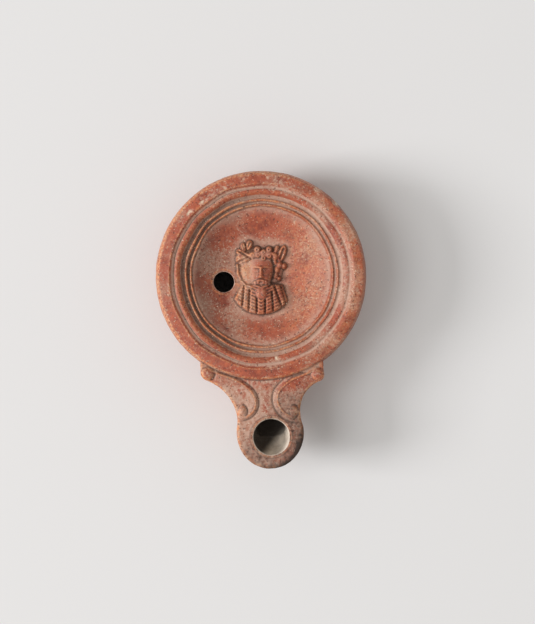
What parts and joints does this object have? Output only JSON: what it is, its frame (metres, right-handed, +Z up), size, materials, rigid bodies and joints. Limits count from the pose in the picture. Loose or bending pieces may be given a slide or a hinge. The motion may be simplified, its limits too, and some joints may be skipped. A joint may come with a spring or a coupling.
{
  "type": "roman oil lamp",
  "caption": "Round mould-made clay oil lamp with a sunken picture disc, a filling hole, and a volute nozzle with a wick hole.",
  "frame": {"origin": "centre of the flat base, on its underside", "axes": "+Z up, -Y along the nozzle towards its tip, +X to the lamp's right as seen from the nozzle's side, looking at the bust the right way up from above"},
  "size_m": [0.0726, 0.1025, 0.026],
  "materials": {
    "terracotta": "worn matt red slip over pale clay"
  },
  "bodies": {
    "root": {"lamp_body": "terracotta"}
  },
  "joints": []
}
